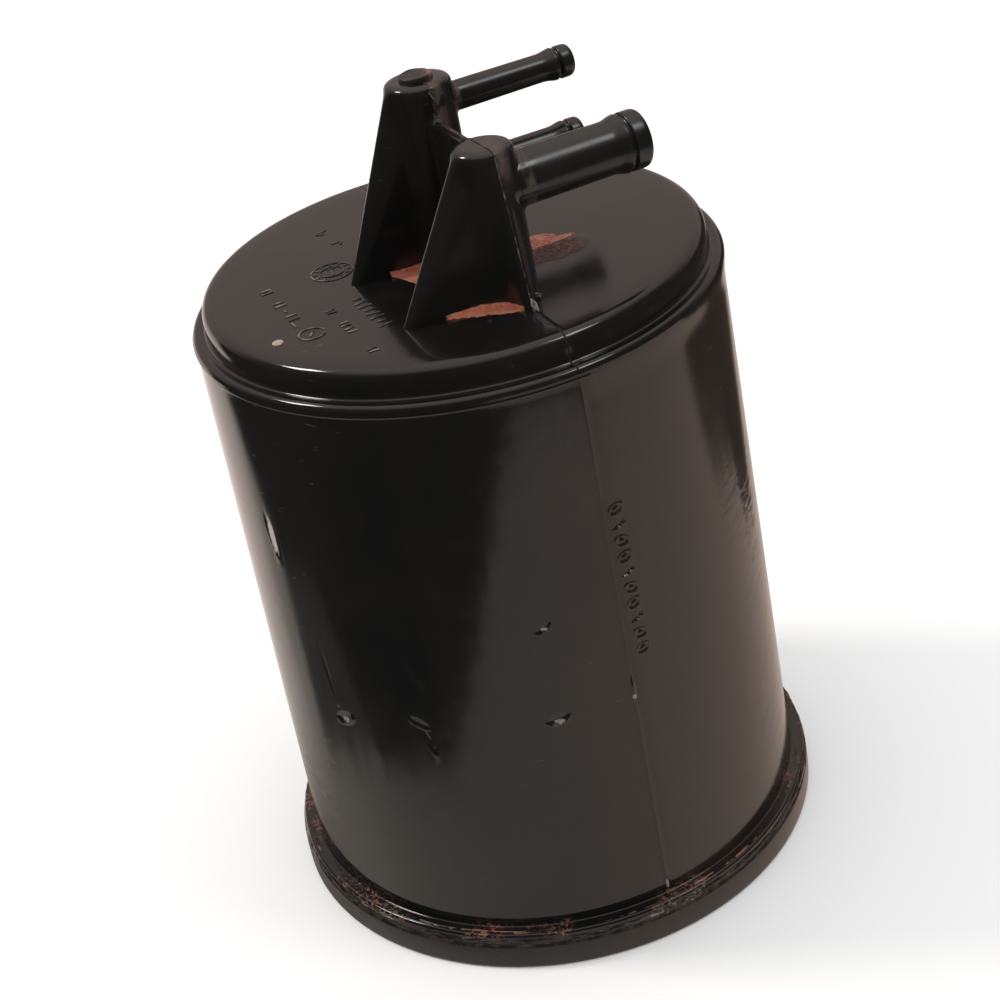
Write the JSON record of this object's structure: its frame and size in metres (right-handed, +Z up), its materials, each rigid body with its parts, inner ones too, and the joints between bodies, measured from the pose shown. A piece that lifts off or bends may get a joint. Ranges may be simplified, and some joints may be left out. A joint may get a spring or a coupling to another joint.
{
  "type": "evaporative vapour canister",
  "caption": "Round black moulded fuel-vapour canister with finned top towers carrying side hose nipples, a welded base cap, a sprung charcoal bed and a pull-out air filter.",
  "frame": {"origin": "centre of the base cap's underside, on the can's axis", "axes": "+Z up the can's axis towards the towers, +X the way the three hose nipples point, the mould's parting plane is X = 0 and the front tower with the large nipple stands towards -Y"},
  "size_m": [0.158, 0.158, 0.2335],
  "materials": {
    "black_nylon": "satin black moulded nylon, lightly scuffed, with orange dust at the tower feet",
    "base_nylon": "satin black moulded nylon with a rough welded rim and rusty dirt",
    "grid_nylon": "plain moulded nylon",
    "natural_nylon": "undyed extruded nylon tube",
    "fibre": "matted glass fibre",
    "foam": "open-cell polyurethane foam",
    "charcoal": "loose activated charcoal pellets",
    "spring_steel": "drawn spring wire",
    "screen_steel": "woven stainless wire",
    "brass": "turned",
    "rubber": "moulded nitrile"
  },
  "bodies": {
    "canister": {"housing": "black_nylon", "tower_plug": "black_nylon", "base_cap": "base_nylon", "fixed_grid": "grid_nylon", "spring_1": "spring_steel", "spring_2": "spring_steel", "spring_3": "spring_steel", "spring_4": "spring_steel", "spreader_plate": "grid_nylon", "front_port_screen": "screen_steel", "rear_port_screen": "screen_steel", "drop_tube": "natural_nylon", "tube_strainer": "screen_steel", "tube_grommet": "rubber", "purge_orifice": "brass"},
    "charcoal_column": {"pressure_grid": "grid_nylon", "lower_pad": "foam", "carbon_bed": "charcoal", "upper_pad": "foam"},
    "filter_set": {"air_filter": "fibre", "retainer_cross": "grid_nylon"}
  },
  "joints": [
    {"name": "charcoal_slide", "type": "slide", "parent": "canister", "child": "charcoal_column", "axis": [0, 0, 1], "range_m": [-0.01, 0], "stiffness_N_per_m": 6000, "springref_m": 0.008, "deforming": ["spring_1", "spring_2", "spring_3", "spring_4"]},
    {"name": "filter_slide", "type": "slide", "parent": "canister", "child": "filter_set", "axis": [0, 0, -1], "range_m": [0, 0.035]}
  ]
}
